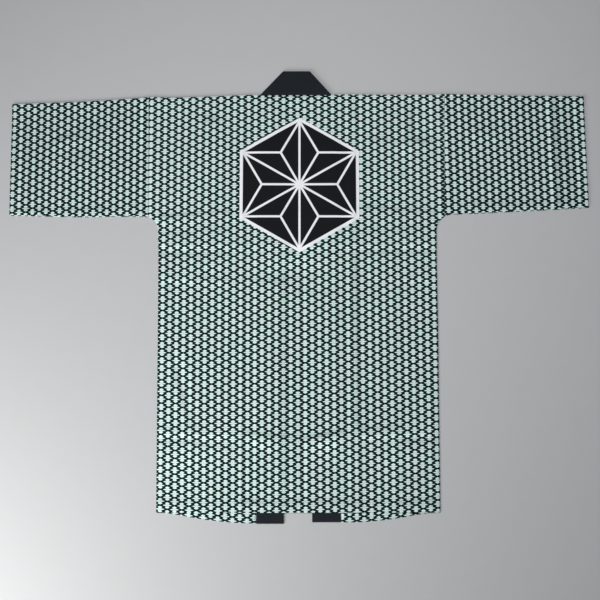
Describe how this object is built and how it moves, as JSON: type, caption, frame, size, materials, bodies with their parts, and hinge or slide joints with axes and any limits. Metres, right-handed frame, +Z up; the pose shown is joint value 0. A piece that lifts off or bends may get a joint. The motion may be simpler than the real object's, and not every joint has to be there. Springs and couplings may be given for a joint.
{
  "type": "happi coat laid flat",
  "caption": "Cotton happi coat with wide straight sleeves, an open front and a black collar band, laid flat with its back up.",
  "frame": {"origin": "on the surface that the coat lies on, under the middle of its outline", "axes": "+X towards the wearer's right cuff, +Y towards the neck, +Z up out of the back of the coat"},
  "size_m": [1.324, 1.0241, 0.0054],
  "materials": {
    "printed_cotton": "matt plain-weave cotton, pale green pine-bark lozenges on a near-black green ground",
    "black_cotton": "matt black plain-weave cotton, folded into a firm band"
  },
  "bodies": {
    "root": {"back": "printed_cotton", "front_left": "printed_cotton", "front_right": "printed_cotton", "sleeve_left": "printed_cotton", "sleeve_right": "printed_cotton", "collar": "black_cotton"}
  },
  "joints": []
}
